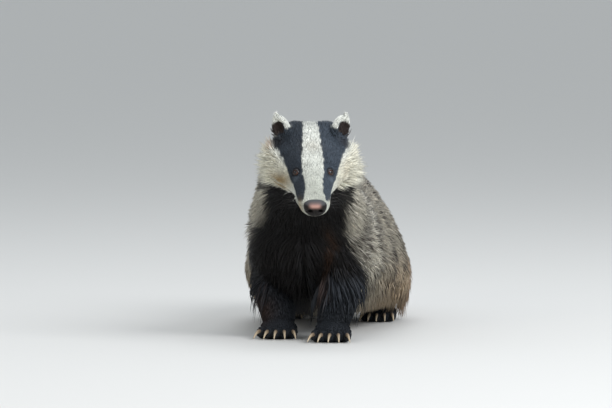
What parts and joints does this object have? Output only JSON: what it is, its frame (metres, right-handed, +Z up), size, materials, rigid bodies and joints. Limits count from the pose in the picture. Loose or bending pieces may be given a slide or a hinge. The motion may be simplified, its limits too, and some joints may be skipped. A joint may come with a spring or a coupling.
{
  "type": "european badger",
  "caption": "Stocky, low-slung badger standing still on short legs, with a striped head, pointed muzzle, small round ears, long coarse coat and short brush tail.",
  "frame": {"origin": "on the floor, under the middle of the bounding box", "axes": "+Z up; the animal faces -Y along its longest extent; +X is its left side"},
  "size_m": [0.2332, 0.855, 0.3191],
  "materials": {
    "white_fur": "short soft fur",
    "black_fur": "short dense fur",
    "grey_fur": "long coarse guard hair",
    "nose_skin": "moist bare skin",
    "eye_gloss": "wet gloss"
  },
  "bodies": {
    "root": {"torso": "grey_fur", "neck": "grey_fur", "tail": "grey_fur", "head": "white_fur", "ear_left": "black_fur", "ear_right": "black_fur", "eye_left": "eye_gloss", "eye_right": "eye_gloss", "nose": "nose_skin", "foreleg_left": "black_fur", "foreleg_right": "black_fur", "forepaw_left": "black_fur", "forepaw_right": "black_fur", "hindleg_left": "black_fur", "hindleg_right": "black_fur", "hindpaw_left": "black_fur", "hindpaw_right": "black_fur"}
  },
  "joints": []
}
